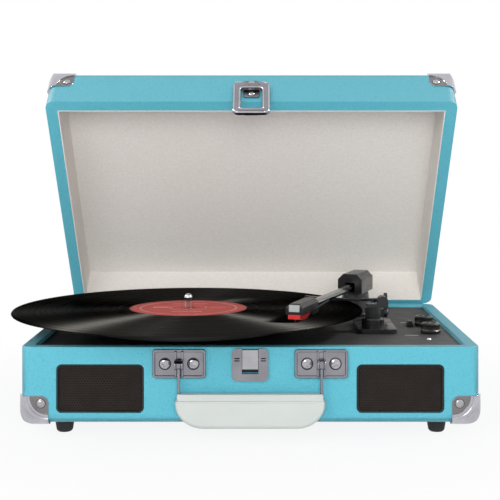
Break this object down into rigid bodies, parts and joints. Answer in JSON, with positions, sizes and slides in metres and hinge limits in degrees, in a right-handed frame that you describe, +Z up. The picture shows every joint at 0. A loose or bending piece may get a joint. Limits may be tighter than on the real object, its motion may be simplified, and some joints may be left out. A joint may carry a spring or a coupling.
{
  "type": "suitcase record player",
  "caption": "Portable record player in a covered wooden suitcase: hinged lid, belt-driven platter with a record, pivoted tone arm with lift, front speakers, latch and carrying handle.",
  "frame": {"origin": "Centre of the overall box in plan, at floor level under the feet", "axes": "+X to the right as seen from the front, +Y to the back, +Z up"},
  "size_m": [0.3867, 0.344, 0.2938],
  "materials": {
    "leatherette": "grained leatherette over wood",
    "lining": "smooth paper-like lining",
    "nickel": "bright nickel plate",
    "screw_metal": "polished screw and rivet heads",
    "foot_rubber": "matt black rubber",
    "deck_black": "satin black",
    "grille_cloth": "black woven mesh",
    "speaker_frame": "pressed and painted",
    "speaker_paper": "pulp paper",
    "grip_skin": "smooth off-white skin",
    "steel": "plain steel",
    "brass": "turned",
    "belt_rubber": "matt",
    "board_green": "solder mask",
    "black_plastic": "fine satin",
    "dark_metal": "dark satin metal",
    "platter_black": "moulded satin",
    "mat_felt": "felt",
    "vinyl": "grooved, glossy",
    "label_paper": "printed paper",
    "chrome": "polished",
    "arm_metal": "satin tube",
    "cartridge_grey": "moulded",
    "stylus_red": "clear-coated red",
    "knob_metal": "dark satin with bright rings",
    "lamp_red": "clear red lens"
  },
  "bodies": {
    "case": {"base_shell": "leatherette", "base_corners": "nickel", "base_rivets": "screw_metal", "feet": "foot_rubber", "deck_plate": "deck_black", "deck_screws": "dark_metal", "grille_left": "grille_cloth", "grille_right": "grille_cloth", "speaker_left": "speaker_frame", "speaker_right": "speaker_frame", "cone_left": "speaker_paper", "cone_right": "speaker_paper", "bracket_left": "nickel", "bracket_right": "nickel", "case_screws": "screw_metal", "catch_plate": "nickel", "base_hinge_leaves": "nickel", "hinge_pins": "steel", "motor": "steel", "spindle_bearing": "brass", "drive_belt": "belt_rubber", "circuit_board": "board_green", "jack_plate": "black_plastic", "phono_sockets": "brass", "aux_socket": "chrome", "power_inlet": "black_plastic", "arm_pedestal": "black_plastic", "arm_rest": "dark_metal", "cue_base": "black_plastic", "volume_control": "steel", "function_switch": "steel", "speed_switch": "steel", "power_lamp": "lamp_red"},
    "lid": {"lid_shell": "leatherette", "lid_lining": "lining", "lid_corners": "nickel", "lid_rivets": "screw_metal", "lid_hinge_leaves": "nickel", "lid_screws": "screw_metal", "hasp_plate": "nickel"},
    "hasp": {"hasp_loop": "nickel"},
    "catch": {"catch_lever": "nickel"},
    "handle": {"handle_grip": "grip_skin", "handle_bails": "nickel"},
    "turntable": {"platter": "platter_black", "slip_mat": "mat_felt", "spindle": "chrome", "record": "vinyl", "record_label": "label_paper"},
    "pulley": {"motor_pulley": "brass"},
    "arm_base": {"arm_yoke": "dark_metal"},
    "arm": {"tone_arm": "arm_metal", "head_shell": "black_plastic", "cartridge": "cartridge_grey", "stylus": "stylus_red"},
    "cue": {"cue_lever": "black_plastic"},
    "lift": {"lift_bar": "dark_metal"},
    "volume": {"volume_knob": "knob_metal"},
    "function": {"function_knob": "knob_metal"},
    "speed": {"speed_slider": "black_plastic"}
  },
  "joints": [
    {"name": "lid_hinge", "type": "hinge", "parent": "case", "child": "lid", "pos_m": [0.01225, 0.13423, 0.062], "axis": [1, 0, 0], "range_deg": [-45, 24]},
    {"name": "hasp_swing", "type": "hinge", "parent": "lid", "child": "hasp", "pos_m": [0.01225, -0.01542, 0.2817], "axis": [-1, 0, 0], "range_deg": [0, 100]},
    {"name": "catch_press", "type": "hinge", "parent": "case", "child": "catch", "pos_m": [0.01225, -0.12702, 0.0624], "axis": [-1, 0, 0], "range_deg": [0, 25], "stiffness_Nm_per_rad": 0.01},
    {"name": "handle_swing", "type": "hinge", "parent": "case", "child": "handle", "pos_m": [0.01225, -0.13377, 0.0592], "axis": [-1, 0, 0], "range_deg": [0, 100]},
    {"name": "platter_spin", "type": "hinge", "parent": "case", "child": "turntable", "pos_m": [-0.04255, -0.02117, 0.0851], "axis": [0, 0, 1], "continuous": true},
    {"name": "pulley_spin", "type": "hinge", "parent": "case", "child": "pulley", "pos_m": [-0.08055, 0.04465, 0.0772], "axis": [0, 0, 1], "continuous": true},
    {"name": "arm_swing", "type": "hinge", "parent": "case", "child": "arm_base", "pos_m": [0.11025, 0.07423, 0.097], "axis": [0, 0, 1], "range_deg": [-20.9, 22.7]},
    {"name": "cue_turn", "type": "hinge", "parent": "case", "child": "cue", "pos_m": [0.13141, 0.00541, 0.0802], "axis": [1, 0, 0], "range_deg": [0, 60]},
    {"name": "arm_lift", "type": "hinge", "parent": "arm_base", "child": "arm", "pos_m": [0.11025, 0.07423, 0.097], "axis": [-0.9441, 0.3295, 0], "range_deg": [0, 2.4]},
    {"name": "lift_slide", "type": "slide", "parent": "case", "child": "lift", "axis": [0, 0, 1], "range_m": [0, 0.00285]},
    {"name": "volume_turn", "type": "hinge", "parent": "case", "child": "volume", "pos_m": [0.16525, -0.03877, 0.0752], "axis": [0, 0, 1], "range_deg": [-270, 0]},
    {"name": "function_turn", "type": "hinge", "parent": "case", "child": "function", "pos_m": [0.16525, 0.00323, 0.0752], "axis": [0, 0, 1], "range_deg": [-60, 60]},
    {"name": "speed_slide", "type": "slide", "parent": "case", "child": "speed", "axis": [0, 1, 0], "range_m": [-0.004, 0.004]}
  ],
  "couplings": [
    {"joint": "pulley_spin", "follows": "platter_spin", "ratio": 10.881},
    {"joint": "cue_turn", "follows": "lift_slide", "rad_per_m": 367.44},
    {"joint": "arm_lift", "follows": "lift_slide", "rad_per_m": 14.697}
  ]
}
